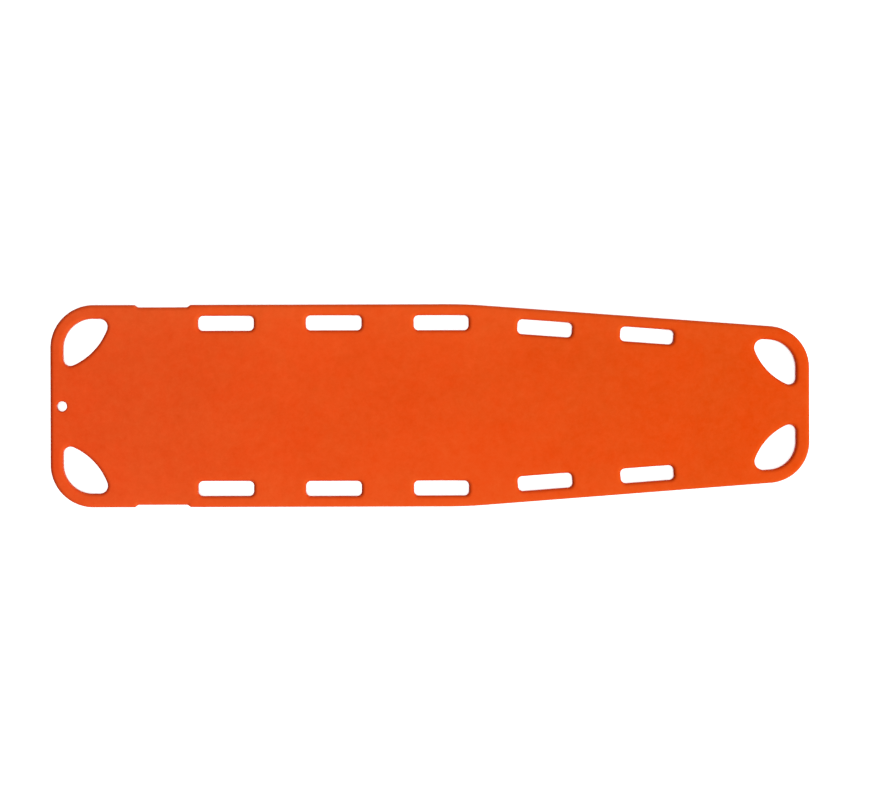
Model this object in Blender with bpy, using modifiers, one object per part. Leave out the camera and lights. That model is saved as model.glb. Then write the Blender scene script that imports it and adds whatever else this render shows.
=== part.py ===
"""Rigid stretcher: a long adult spine board moulded in polyethylene, with a foam core and two stiffening tubes.

Frame: +X runs along the board towards the foot end, +Y to the patient's left-hand side as the board is drawn,
+Z up. The origin is under the middle of the board, on the surface that its runners stand on.
All sizes below are in millimetres and are turned into metres where the objects are made.
"""

import math

import bmesh
import bpy
from mathutils import Matrix, Vector

MM = 0.001

# ---------------------------------------------------------------- driving dimensions
LENGTH = 1830.0  # standard adult long board
HALF_WIDTH = 244.2  # over the head and trunk
FOOT_HALF_WIDTH = 182.3  # where the tapered sides would meet the foot end
TAPER_X = 87.0  # the sides start to close here
TAPER_BEND_R = 1150.0  # soft bend between straight and tapered side
HEAD_CORNER_R = 103.6
FOOT_CORNER_R = 100.3

RUNNER_H = 15.0  # ground clearance under the deck
DECK_T = 40.0
Z_UNDER = RUNNER_H
Z_TOP = RUNNER_H + DECK_T
EDGE_R = 10.0  # rounding of every outer edge and of every grip
WALL = 3.5  # skin of the moulding
END_WALL = 7.0  # the two end walls are thicker, because they carry the tube ports
CORE_CHAMFER = 4.0  # the cavity's edges follow the rounded outside
GAP = 0.3  # clearance between separate pieces

# strap recess in both sides, next to the head grips
RECESS_X0, RECESS_X1 = -713.3, -575.6
RECESS_DEPTH = 5.8
RECESS_RAMP = 11.0

# hand slots: five a side. The last two follow the taper.
SLOT_L = (133.4, 133.8, 131.7, 130.7, 127.2)
SLOT_W = (35.5, 35.6, 35.5, 35.2, 34.9)
SLOT_R = 11.1
SLOT_X = (-491.4, -231.6, 27.5, 277.1, 523.2)
SLOT_FROM_EDGE = (45.1, 44.6, 44.9, 44.7, 44.3)

# corner grips. Each is the board's own corner set in by the rim, closed by an arc about a point near the board's
# square corner: rim at the side, rim at the end, arc's centre out past the end and in from the side, arc's radius,
# radius of the tip at the side, radius of the tip at the end
HEAD_GRIP = (33.7, 31.6, 7.4, 4.0, 154.2, 19.0, 16.3)
FOOT_GRIP = (33.0, 33.6, 7.1, -2.0, 148.2, 20.5, 15.5)

# hanging hole in the head end, through a solid land that is one with the end wall
HANG_X, HANG_R, HANG_EDGE_R = -887.0, 12.0, 4.5

# runners under the deck
RUNNER_W = 30.0
RUNNER_FROM_EDGE = 111.2
RUNNER_X0, RUNNER_X1 = -760.0, 735.0
RUNNER_EDGE_R = 6.0
STRAP_CHANNEL = 6.0  # the runners are cut this deep in line with the strap recess
STRAP_SLOPE = 10.0

# stiffening tubes and their ports
TUBE_Y, TUBE_Z = 28.0, Z_UNDER + DECK_T / 2
TUBE_R, TUBE_BORE_R = 7.0, 5.5
PORT_R = TUBE_R + GAP
SEAT_R, SEAT_DEPTH = 9.3, 2.5
TUBE_END_INSET = 3.0

# foam ports in the underside
FILL_X, FILL_R = 0.0, 12.0
VENT_X, VENT_R = 620.0, 6.0
PLUG_DEPTH = 9.0

ORANGE = (0.78, 0.062, 0.006, 1.0)


# ---------------------------------------------------------------- outlines, all counter-clockwise
def arc(cx, cy, r, a0, a1, steps):
    """Points on an arc from angle a0 to a1, in degrees, both ends included."""
    made = []
    for i in range(steps + 1):
        a = math.radians(a0 + (a1 - a0) * i / steps)
        made.append((cx + r * math.cos(a), cy + r * math.sin(a)))
    return made


def side_slope():
    """Angle of the tapered side, in radians."""
    return math.atan((HALF_WIDTH - FOOT_HALF_WIDTH) / (LENGTH / 2 - TAPER_X))


def half_width(x):
    """Half width at x, before the strap recess, the corners and the bend."""
    return HALF_WIDTH - max(0.0, x - TAPER_X) * math.tan(side_slope())


def left_side():
    """The outline's y > 0 half, from the foot end's middle to the head end's middle."""
    slope = math.degrees(side_slope())
    end = LENGTH / 2
    r = FOOT_CORNER_R
    cx = end - r
    cy = half_width(cx) - r / math.cos(math.radians(slope))
    points = arc(cx, cy, r, 0, 90 - slope, 8)
    # soft bend between the tapered and the straight side
    reach = TAPER_BEND_R * math.tan(math.radians(slope / 2))
    bend_cx = TAPER_X - reach
    points += arc(bend_cx, HALF_WIDTH - TAPER_BEND_R, TAPER_BEND_R, 90 - slope, 90, 4)
    # strap recess
    deep = HALF_WIDTH - RECESS_DEPTH
    points += [
        (RECESS_X1, HALF_WIDTH),
        (RECESS_X1 - RECESS_RAMP, deep),
        (RECESS_X0 + RECESS_RAMP, deep),
        (RECESS_X0, HALF_WIDTH),
    ]
    r = HEAD_CORNER_R
    points += arc(-end + r, HALF_WIDTH - r, r, 90, 180, 8)
    return points


def board_outline():
    left = left_side()
    return left + [(x, -y) for x, y in reversed(left)]


def grown(points, by):
    """The closed outline moved outwards by a distance, or inwards by a negative one. Each corner keeps its mitre."""
    if by == 0:
        return list(points)
    made = []
    n = len(points)
    for i in range(n):
        p, c, q = (Vector(points[(i + k) % n]) for k in (-1, 0, 1))
        a, b = (c - p).normalized(), (q - c).normalized()
        na, nb = Vector((a.y, -a.x)), Vector((b.y, -b.x))
        mitre = (na + nb) / (1 + na.dot(nb))
        made.append(tuple(c + mitre * by))
    return made


def slots():
    """(length, width, centre x, centre y, angle in degrees) of each slot on the y > 0 side."""
    slope = side_slope()
    made = []
    for length, width, x, inset in zip(SLOT_L, SLOT_W, SLOT_X, SLOT_FROM_EDGE):
        if x < TAPER_X:
            made.append((length, width, x, HALF_WIDTH - inset, 0.0))
        else:
            y = half_width(x) - inset / math.cos(slope)
            made.append((length, width, x, y, -math.degrees(slope)))
    return made


def slot_outline(slot, mirrored, steps):
    length, width, cx, cy, angle = slot
    hx, hy, r = length / 2, width / 2, SLOT_R
    points = []
    for sx, sy, a in ((1, 1, 0), (-1, 1, 90), (-1, -1, 180), (1, -1, 270)):
        points += arc(sx * (hx - r), sy * (hy - r), r, a, a + 90, steps)
    c, s = math.cos(math.radians(angle)), math.sin(math.radians(angle))
    points = [(cx + x * c - y * s, cy + x * s + y * c) for x, y in points]
    return mirror(points) if mirrored else points


def mirror(points):
    return [(x, -y) for x, y in reversed(points)]


def fillet_on_arc(arc_centre, big_r, line_point, line_dir, inward, r):
    """A circle of radius r inside both a big arc and a straight side. Gives its centre, where it leaves the side and
    where it meets the arc."""
    p, d, n = Vector(line_point), Vector(line_dir).normalized(), Vector(inward).normalized()
    base = p + n * r
    # the centre lies on base + t d, at big_r - r from the arc's centre
    rel = base - arc_centre
    b = rel.dot(d)
    c = rel.dot(rel) - (big_r - r) ** 2
    t = -b + math.sqrt(b * b - c)
    centre = base + d * t
    return centre, centre - n * r, arc_centre + (centre - arc_centre).normalized() * big_r


def angle_of(v):
    return math.degrees(math.atan2(v[1], v[0]))


def turned_arc(centre, r, start, end, steps, turn):
    """An arc between two directions, turning by +1 or -1, both ends included."""
    a0, a1 = angle_of(start - centre), angle_of(end - centre)
    while turn * (a1 - a0) < 0:
        a1 += turn * 360
    return arc(centre[0], centre[1], r, a0, a1, steps)


def grip_outline(at_head, rim_steps, tip_steps):
    """The corner grip on the y > 0 side."""
    end = LENGTH / 2
    out = Vector((-1.0 if at_head else 1.0, 0.0))
    slope = 0.0 if at_head else side_slope()
    corner_r = HEAD_CORNER_R if at_head else FOOT_CORNER_R
    side_rim, end_rim, past, inside, big_r, side_tip, end_tip = HEAD_GRIP if at_head else FOOT_GRIP
    corner = out * end + Vector((0, half_width(-end if at_head else end)))
    side_dir = Vector((-out.x * math.cos(slope), math.sin(slope)))
    side_in = Vector((-math.sin(slope), -math.cos(slope)))
    end_dir, end_in = Vector((0, -1)), -out
    arc_centre = corner + out * past + Vector((0, -inside))
    side_c, side_on, side_arc = fillet_on_arc(
        arc_centre, big_r, corner + side_in * side_rim, side_dir, side_in, side_tip
    )
    end_c, end_on, end_arc = fillet_on_arc(
        arc_centre, big_r, corner + end_in * end_rim, end_dir, end_in, end_tip
    )
    # the rounded corner between the two straight stretches
    rim_r = corner_r - (side_rim + end_rim) / 2
    cx = end - end_rim - rim_r
    cy = half_width(out.x * cx) - (side_rim + rim_r) / math.cos(slope)
    centre = Vector((out.x * cx, cy))
    turn = 1 if at_head else -1
    # from the side round the corner to the end, then back along the big arc
    points = turned_arc(centre, rim_r, centre - side_in * rim_r, centre - end_in * rim_r, rim_steps, turn)
    points += turned_arc(end_c, end_tip, end_on, end_arc, tip_steps, turn)
    points += turned_arc(arc_centre, big_r, end_arc, side_arc, 5, turn)[1:-1]
    points += turned_arc(side_c, side_tip, side_arc, side_on, tip_steps, turn)
    return points if at_head else list(reversed(points))


def land_outline(r):
    """Plan of the solid land round the hanging hole, out past the head end."""
    return arc(HANG_X, 0, r, -90, 90, 10) + [(-LENGTH / 2 - 10, r), (-LENGTH / 2 - 10, -r)]


def openings(slot_steps=3, rim_steps=6, tip_steps=4):
    """Every grip and slot that goes through the deck."""
    made = []
    for slot in slots():
        made += [slot_outline(slot, flip, slot_steps) for flip in (False, True)]
    for at_head in (True, False):
        points = grip_outline(at_head, rim_steps, tip_steps)
        made += [points, mirror(points)]
    return made


def runner_outline(inset):
    """Plan of the runner on the y > 0 side: parallel to the board's side, with round ends."""
    slope = side_slope()
    w = RUNNER_W / 2 - inset
    y0 = HALF_WIDTH - RUNNER_FROM_EDGE
    bend = Vector((TAPER_X - RUNNER_FROM_EDGE * math.tan(slope / 2), y0))
    d = Vector((math.cos(slope), -math.sin(slope)))
    foot = bend + d * ((RUNNER_X1 - RUNNER_W / 2 - bend.x) / d.x)
    head = Vector((RUNNER_X0 + RUNNER_W / 2, y0))
    deg = math.degrees(slope)
    points = arc(head.x, head.y, w, 90, 270, 8)
    half = slope / 2
    reach = w / math.cos(half)
    middle = Vector((math.sin(half), math.cos(half))) * reach
    points.append(tuple(bend - middle))
    points += arc(foot.x, foot.y, w, -90 - deg, 90 - deg, 8)
    points.append(tuple(bend + middle))
    return points


# ---------------------------------------------------------------- object makers
def material(name, colour, roughness, metallic=0.0):
    mat = bpy.data.materials.new(name)
    mat.use_nodes = True
    shader = mat.node_tree.nodes["Principled BSDF"]
    shader.inputs["Base Color"].default_value = colour
    shader.inputs["Roughness"].default_value = roughness
    shader.inputs["Metallic"].default_value = metallic
    mat.diffuse_color = colour
    return mat


def collection(name, hidden=False):
    made = bpy.data.collections.new(name)
    bpy.context.scene.collection.children.link(made)
    made.hide_render = hidden
    return made


def slab(name, loops, z0, z1, edge, steps, into):
    """A plate with openings and rounded edges: a filled 2D curve with an extrusion and a bevel, then made a mesh.
    loops are the outlines at the plate's widest, outer one first. steps is the bevel's resolution."""
    curve = bpy.data.curves.new(name, "CURVE")
    curve.dimensions = "2D"
    curve.fill_mode = "BOTH"
    curve.extrude = ((z1 - z0) / 2 - edge) * MM
    curve.bevel_depth = edge * MM
    curve.bevel_resolution = steps
    for k, points in enumerate(loops):
        face = grown(points, -edge if k == 0 else edge)
        spline = curve.splines.new("POLY")
        spline.points.add(len(face) - 1)
        for point, (x, y) in zip(spline.points, face):
            point.co = (x * MM, y * MM, 0, 1)
        spline.use_cyclic_u = True
    rough = bpy.data.objects.new(name + "_curve", curve)
    bpy.context.scene.collection.objects.link(rough)
    rough.location.z = (z0 + z1) / 2 * MM
    return settled(name, rough, into)


def settled(name, rough, into):
    """Turns a curve or a profile into a closed mesh in place, smooth over its roundings and crisp at its corners."""
    bpy.context.view_layer.update()
    graph = bpy.context.evaluated_depsgraph_get()
    mesh = bpy.data.meshes.new_from_object(rough.evaluated_get(graph))
    mesh.name = name
    mesh.transform(rough.matrix_world)
    bm = bmesh.new()
    bm.from_mesh(mesh)
    bmesh.ops.remove_doubles(bm, verts=bm.verts, dist=0.00002)
    bmesh.ops.recalc_face_normals(bm, faces=bm.faces)
    bm.to_mesh(mesh)
    bm.free()
    smooth(mesh)
    bpy.data.objects.remove(rough)
    made = bpy.data.objects.new(name, mesh)
    into.objects.link(made)
    return made


def smooth(mesh):
    mesh.shade_smooth()
    mesh.set_sharp_from_angle(angle=math.radians(50))


def rod(name, r, x0, x1, y, z, into, sides=20):
    """A plain cylinder along X."""
    bpy.ops.mesh.primitive_cylinder_add(
        vertices=sides,
        radius=r * MM,
        depth=(x1 - x0) * MM,
        location=((x0 + x1) / 2 * MM, y * MM, z * MM),
        rotation=(0, math.pi / 2, 0),
    )
    return adopt(name, into)


def post(name, r, z0, z1, x, y, into, sides=20):
    """A plain cylinder along Z."""
    bpy.ops.mesh.primitive_cylinder_add(
        vertices=sides,
        radius=r * MM,
        depth=(z1 - z0) * MM,
        location=(x * MM, y * MM, (z0 + z1) / 2 * MM),
    )
    return adopt(name, into)


def adopt(name, into):
    made = bpy.context.active_object
    made.name = name
    made.data.name = name
    smooth(made.data)
    for holder in list(made.users_collection):
        holder.objects.unlink(made)
    into.objects.link(made)
    return made


def turned(name, profile, into, steps=20):
    """A turned piece: the profile is (radius, height) from the top of its axis down its outer side."""
    mesh = bpy.data.meshes.new(name)
    points = [(r * MM, 0, z * MM) for r, z in profile]
    mesh.from_pydata(points, [(i, i + 1) for i in range(len(points) - 1)], [])
    rough = bpy.data.objects.new(name + "_profile", mesh)
    bpy.context.scene.collection.objects.link(rough)
    screw = rough.modifiers.new("turn", "SCREW")
    screw.axis = "Z"
    screw.angle = math.tau
    screw.steps = screw.render_steps = steps
    screw.use_merge_vertices = True
    screw.merge_threshold = 0.00001
    return settled(name, rough, into)


def cut(target, cutter, name):
    join(target, cutter, name, "DIFFERENCE")
    cutter.hide_render = True
    cutter.display_type = "WIRE"


def join(target, other, name, operation="UNION"):
    modifier = target.modifiers.new(name, "BOOLEAN")
    modifier.operation = operation
    modifier.solver = "EXACT"
    modifier.object = other
    other.hide_render = True
    other.display_type = "WIRE"


def strap_cutter(name, grow, into):
    """A bar across both runners with sloping ends, in line with the strap recess. Its top is the channel's bed."""
    top = STRAP_CHANNEL + grow
    x0, x1 = RECESS_X0 - grow, RECESS_X1 + grow
    curve = bpy.data.curves.new(name, "CURVE")
    curve.dimensions = "2D"
    curve.fill_mode = "BOTH"
    curve.extrude = 0.2
    spline = curve.splines.new("POLY")
    below = -5.0
    lean = STRAP_SLOPE * (top - below) / STRAP_CHANNEL
    shape = [
        (x0 - STRAP_SLOPE * -below / STRAP_CHANNEL, below),
        (x1 + STRAP_SLOPE * -below / STRAP_CHANNEL, below),
        (x1 + STRAP_SLOPE * -below / STRAP_CHANNEL - lean, top),
        (x0 - STRAP_SLOPE * -below / STRAP_CHANNEL + lean, top),
    ]
    spline.points.add(3)
    for point, (x, z) in zip(spline.points, shape):
        point.co = (x * MM, z * MM, 0, 1)
    spline.use_cyclic_u = True
    rough = bpy.data.objects.new(name + "_curve", curve)
    bpy.context.scene.collection.objects.link(rough)
    rough.rotation_euler = (math.pi / 2, 0, 0)
    return settled(name, rough, into)


# ---------------------------------------------------------------- the board
def main():
    for old in list(bpy.data.objects):
        bpy.data.objects.remove(old)

    board = collection("rigid_stretcher")
    helpers = collection("cutters", hidden=True)
    skin = material("orange_polyethylene", ORANGE, 0.45)
    foam_mat = material("rigid_foam", (0.80, 0.66, 0.38, 1.0), 0.95)
    glass_mat = material("pultruded_fibreglass", (0.55, 0.52, 0.30, 1.0), 0.40)
    plug_mat = material("black_plug", (0.02, 0.02, 0.022, 1.0), 0.50)
    weld_mat = material("orange_plug", (0.70, 0.05, 0.005, 1.0), 0.50)

    outline = board_outline()
    holes = openings()
    hidden_holes = openings(2, 4, 3)

    # outer skin
    shell = slab("shell", [outline] + holes, Z_UNDER, Z_TOP, EDGE_R, 1, board)
    shell.data.materials.append(skin)

    # the hollow inside it, which the foam fills
    def hollow(name, shrink, into):
        side = WALL + shrink
        end = END_WALL + shrink
        inner = grown(outline, -side)
        reach = LENGTH / 2 - end
        inner = [(max(-reach, min(reach, x)), y) for x, y in inner]
        inner = tidy(inner)
        posts = [grown(points, side) for points in hidden_holes]
        return slab(
            name, [inner] + posts, Z_UNDER + side, Z_TOP - side, CORE_CHAMFER, 0, into
        )

    def tidy(points):
        """Drops points that the end walls brought together."""
        made = []
        for p in points:
            if not made or (Vector(p) - Vector(made[-1])).length > 0.5:
                made.append(p)
        if (Vector(made[0]) - Vector(made[-1])).length < 0.5:
            made.pop()
        return made

    cavity = hollow("cavity", 0.0, helpers)
    foam = hollow("foam_core", GAP, board)
    foam.data.materials.append(foam_mat)

    # runners: moulded in one with the skin, and hollow like it
    for side, sign in (("left", 1), ("right", -1)):
        for kind, inset, edge in (
            ("runner", 0.0, RUNNER_EDGE_R),
            ("runner_cavity", WALL, 3.0),
            ("runner_foam", WALL + GAP, 3.0),
        ):
            plan = runner_outline(inset)
            if sign < 0:
                plan = mirror(plan)
            top = Z_UNDER + WALL + 12.0 if kind != "runner" else Z_UNDER + 8.0
            bar = slab(f"{kind}_{side}", [plan], inset, top, edge, 1 if kind == "runner" else 0, helpers)
            join({"runner": shell, "runner_cavity": cavity, "runner_foam": foam}[kind], bar, f"{kind}_{side}")

    for target, grow, name in (
        (shell, 0.0, "strap_channel"),
        (cavity, WALL, "strap_channel_inner"),
        (foam, WALL + GAP, "strap_channel_foam"),
    ):
        cut(target, strap_cutter(name, grow, helpers), name)

    for target, r, name in ((cavity, HANG_R + WALL, "land"), (foam, HANG_R + WALL + GAP, "land_foam")):
        cut(target, slab(name, [land_outline(r)], 0, Z_TOP + 10, 0, 0, helpers), name)

    cut(shell, cavity, "hollow")

    # hanging hole, with both of its rims rounded
    soft = HANG_EDGE_R * (1 - math.sqrt(0.5))
    mouth = HANG_R + HANG_EDGE_R + (HANG_EDGE_R - soft) / 2
    hole = turned(
        "hanging_hole",
        [
            (0, Z_TOP + soft / 2),
            (mouth, Z_TOP + soft / 2),
            (HANG_R + soft, Z_TOP - soft),
            (HANG_R, Z_TOP - HANG_EDGE_R),
            (HANG_R, Z_UNDER + HANG_EDGE_R),
            (HANG_R + soft, Z_UNDER + soft),
            (mouth, Z_UNDER - soft / 2),
            (0, Z_UNDER - soft / 2),
        ],
        helpers,
        24,
    )
    hole.location.x = HANG_X * MM
    cut(shell, hole, "hanging_hole")

    # tube ports through both end walls, each with a seat for its plug
    end = LENGTH / 2
    for side, y in (("left", TUBE_Y), ("right", -TUBE_Y)):
        cut(shell, rod(f"port_{side}", PORT_R, -end - 5, end + 5, y, TUBE_Z, helpers), f"port_{side}")
        for where, sign in (("head", -1), ("foot", 1)):
            x0, x1 = sorted((sign * (end - SEAT_DEPTH), sign * (end + 5)))
            cut(shell, rod(f"seat_{where}_{side}", SEAT_R, x0, x1, y, TUBE_Z, helpers), f"seat_{where}_{side}")
        cut(foam, rod(f"tube_way_{side}", PORT_R, -end - 5, end + 5, y, TUBE_Z, helpers), f"tube_way_{side}")

        tube = rod(f"stiffener_tube_{side}", TUBE_R, -end + TUBE_END_INSET, end - TUBE_END_INSET, y, TUBE_Z, board)
        tube.data.materials.append(glass_mat)
        cut(tube, rod(f"tube_bore_{side}", TUBE_BORE_R, -end - 5, end + 5, y, TUBE_Z, helpers), "bore")

    # a push-in plug in each tube end: a domed head in the port's seat and a ribbed spigot in the tube
    head_r, spigot_r = SEAT_R - GAP, TUBE_BORE_R - GAP
    profile = [
        (0, 0),
        (head_r * 0.55, -0.15),
        (head_r - 0.8, -0.5),
        (head_r, -1.2),
        (head_r, -2.2),
        (spigot_r - 0.6, -2.2),
        (spigot_r - 0.6, -7.0),
        (spigot_r, -8.5),
        (spigot_r - 0.6, -10.0),
        (spigot_r, -11.5),
        (spigot_r - 0.6, -13.0),
        (spigot_r - 1.6, -17.0),
        (0, -17.0),
    ]
    for side, y in (("left", TUBE_Y), ("right", -TUBE_Y)):
        for where, sign in (("head", -1), ("foot", 1)):
            plug = turned(f"tube_plug_{where}_{side}", profile, board, 16)
            plug.data.materials.append(plug_mat)
            plug.rotation_euler = (0, sign * math.pi / 2, 0)
            plug.location = (sign * end * MM, y * MM, TUBE_Z * MM)

    # foam ports in the underside: one to fill, two to vent, each closed by a mushroom plug
    for name, x, r in (
        ("foam_fill_plug", FILL_X, FILL_R),
        ("foam_vent_plug_head", -VENT_X, VENT_R),
        ("foam_vent_plug_foot", VENT_X, VENT_R),
    ):
        cut(shell, post(f"{name}_port", r + GAP, 5, Z_UNDER + WALL + 3, x, 0, helpers), name)
        cut(foam, post(f"{name}_pocket", r + GAP, 5, Z_UNDER + PLUG_DEPTH + GAP, x, 0, helpers), name)
        flange = r + 3.5
        # drawn head down: the flange lies under the skin and the shank goes up into the foam
        shape = [
            (0, PLUG_DEPTH),
            (r - 1.5, PLUG_DEPTH),
            (r, PLUG_DEPTH - 2.0),
            (r, -GAP),
            (flange, -GAP),
            (flange, -1.1),
            (flange - 1.2, -1.9),
            (flange * 0.45, -2.4),
            (0, -2.4),
        ]
        plug = turned(name, shape, board)
        plug.data.materials.append(weld_mat)
        plug.location = (x * MM, 0, Z_UNDER * MM)


main()
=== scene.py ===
"""Looks of a rigid stretcher: a rotationally moulded polyethylene spine board lying on a pale floor.

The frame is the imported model's: +X towards the foot end, +Y to the board's left side as drawn, +Z up, metres. The
plan functions below work in millimetres and repeat the construction's outlines with finer steps.
"""

import math

import bmesh
import bpy
import numpy as np
from mathutils import Matrix, Vector, noise
from mathutils.geometry import delaunay_2d_cdt


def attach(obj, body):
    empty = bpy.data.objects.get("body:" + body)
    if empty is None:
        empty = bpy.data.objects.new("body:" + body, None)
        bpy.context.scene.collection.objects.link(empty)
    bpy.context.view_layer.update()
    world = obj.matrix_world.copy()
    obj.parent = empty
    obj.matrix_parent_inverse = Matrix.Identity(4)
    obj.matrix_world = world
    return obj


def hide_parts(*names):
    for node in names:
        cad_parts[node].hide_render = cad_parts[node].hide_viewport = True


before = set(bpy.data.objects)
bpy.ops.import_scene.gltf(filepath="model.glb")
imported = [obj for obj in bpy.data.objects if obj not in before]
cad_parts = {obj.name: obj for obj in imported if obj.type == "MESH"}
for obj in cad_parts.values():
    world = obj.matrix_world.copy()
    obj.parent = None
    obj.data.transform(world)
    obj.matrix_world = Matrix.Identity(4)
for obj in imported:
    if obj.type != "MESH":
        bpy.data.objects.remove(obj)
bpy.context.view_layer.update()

MM = 0.001

# ---------------------------------------------------------------- the construction's driving dimensions
LENGTH = 1830.0
HALF_WIDTH = 244.2
FOOT_HALF_WIDTH = 182.3
TAPER_X = 87.0
TAPER_BEND_R = 1150.0
HEAD_CORNER_R = 103.6
FOOT_CORNER_R = 100.3
Z_UNDER, Z_TOP = 15.0, 55.0
Z_PARTING = (Z_UNDER + Z_TOP) / 2
EDGE_R = 10.0
WALL = 3.5
END_WALL = 7.0
CORE_CHAMFER = 4.0
GAP = 0.3
RECESS_X0, RECESS_X1 = -713.3, -575.6
RECESS_DEPTH = 5.8
RECESS_RAMP = 11.0
SLOT_L = (133.4, 133.8, 131.7, 130.7, 127.2)
SLOT_W = (35.5, 35.6, 35.5, 35.2, 34.9)
SLOT_R = 11.1
SLOT_X = (-491.4, -231.6, 27.5, 277.1, 523.2)
SLOT_FROM_EDGE = (45.1, 44.6, 44.9, 44.7, 44.3)
HEAD_GRIP = (33.7, 31.6, 7.4, 4.0, 154.2, 19.0, 16.3)
FOOT_GRIP = (33.0, 33.6, 7.1, -2.0, 148.2, 20.5, 15.5)
HANG_X, HANG_R, HANG_EDGE_R = -887.0, 12.0, 4.5
RUNNER_W = 30.0
RUNNER_FROM_EDGE = 111.2
RUNNER_X0, RUNNER_X1 = -760.0, 735.0
RUNNER_EDGE_R = 6.0
STRAP_CHANNEL = 6.0
STRAP_SLOPE = 10.0
TUBE_Y, TUBE_Z = 28.0, 35.0
TUBE_R, TUBE_BORE_R = 7.0, 5.5
PORT_R = TUBE_R + GAP
SEAT_R, SEAT_DEPTH = 9.3, 2.5
TUBE_END_INSET = 3.0
FILL_X, FILL_R = 0.0, 12.0
VENT_X, VENT_R = 620.0, 6.0
PLUG_DEPTH = 9.0

# ---------------------------------------------------------------- what only the looks have
PARTING_RIDGE = 0.22  # the mould's two halves leave a fine line round every wall
DRAFT = 0.18  # each wall leans this far from the parting line to its rounding
DECK_SINK = 0.35  # the flat faces are not quite flat
DECK_STEP = 12.0
RUNNER_FILLET = 3.0

CAMERA_HEIGHT = 12.0  # metres above the deck
VIEW_WIDTH = 2.1074  # metres of deck across the picture
VIEW_CENTRE = (0.0184, 0.0190)


# ---------------------------------------------------------------- plan: outlines in millimetres, counter-clockwise
def arc(cx, cy, r, a0, a1, steps):
    made = []
    for i in range(steps + 1):
        a = math.radians(a0 + (a1 - a0) * i / steps)
        made.append((cx + r * math.cos(a), cy + r * math.sin(a)))
    return made


def side_slope():
    return math.atan((HALF_WIDTH - FOOT_HALF_WIDTH) / (LENGTH / 2 - TAPER_X))


def half_width(x):
    return HALF_WIDTH - max(0.0, x - TAPER_X) * math.tan(side_slope())


def ramp(x0, y0, x1, y1, steps):
    """An S-shaped run between two levels."""
    made = []
    for i in range(steps + 1):
        t = i / steps
        made.append((x0 + (x1 - x0) * t, y0 + (y1 - y0) * (1 - math.cos(math.pi * t)) / 2))
    return made


def board_outline(corner_steps, bend_steps, ramp_steps):
    slope = math.degrees(side_slope())
    end = LENGTH / 2
    r = FOOT_CORNER_R
    cx = end - r
    cy = half_width(cx) - r / math.cos(math.radians(slope))
    points = arc(cx, cy, r, 0, 90 - slope, corner_steps)
    reach = TAPER_BEND_R * math.tan(math.radians(slope / 2))
    points += arc(TAPER_X - reach, HALF_WIDTH - TAPER_BEND_R, TAPER_BEND_R, 90 - slope, 90, bend_steps)
    deep = HALF_WIDTH - RECESS_DEPTH
    points += ramp(RECESS_X1, HALF_WIDTH, RECESS_X1 - RECESS_RAMP, deep, ramp_steps)
    points += ramp(RECESS_X0 + RECESS_RAMP, deep, RECESS_X0, HALF_WIDTH, ramp_steps)
    r = HEAD_CORNER_R
    points += arc(-end + r, HALF_WIDTH - r, r, 90, 180, corner_steps)
    return points + [(x, -y) for x, y in reversed(points)]


def mirror(points):
    return [(x, -y) for x, y in reversed(points)]


def slots():
    slope = side_slope()
    made = []
    for length, width, x, inset in zip(SLOT_L, SLOT_W, SLOT_X, SLOT_FROM_EDGE):
        if x < TAPER_X:
            made.append((length, width, x, HALF_WIDTH - inset, 0.0))
        else:
            made.append((length, width, x, half_width(x) - inset / math.cos(slope), -math.degrees(slope)))
    return made


def slot_outline(slot, mirrored, steps):
    length, width, cx, cy, angle = slot
    hx, hy, r = length / 2, width / 2, SLOT_R
    points = []
    for sx, sy, a in ((1, 1, 0), (-1, 1, 90), (-1, -1, 180), (1, -1, 270)):
        points += arc(sx * (hx - r), sy * (hy - r), r, a, a + 90, steps)
    c, s = math.cos(math.radians(angle)), math.sin(math.radians(angle))
    points = [(cx + x * c - y * s, cy + x * s + y * c) for x, y in points]
    return mirror(points) if mirrored else points


def fillet_on_arc(arc_centre, big_r, line_point, line_dir, inward, r):
    p, d, n = Vector(line_point), Vector(line_dir).normalized(), Vector(inward).normalized()
    base = p + n * r
    rel = base - arc_centre
    b = rel.dot(d)
    c = rel.dot(rel) - (big_r - r) ** 2
    t = -b + math.sqrt(b * b - c)
    centre = base + d * t
    return centre, centre - n * r, arc_centre + (centre - arc_centre).normalized() * big_r


def turned_arc(centre, r, start, end, steps, turn):
    a0, a1 = (math.degrees(math.atan2(*reversed(v - centre))) for v in (start, end))
    while turn * (a1 - a0) < 0:
        a1 += turn * 360
    return arc(centre[0], centre[1], r, a0, a1, steps)


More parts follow.
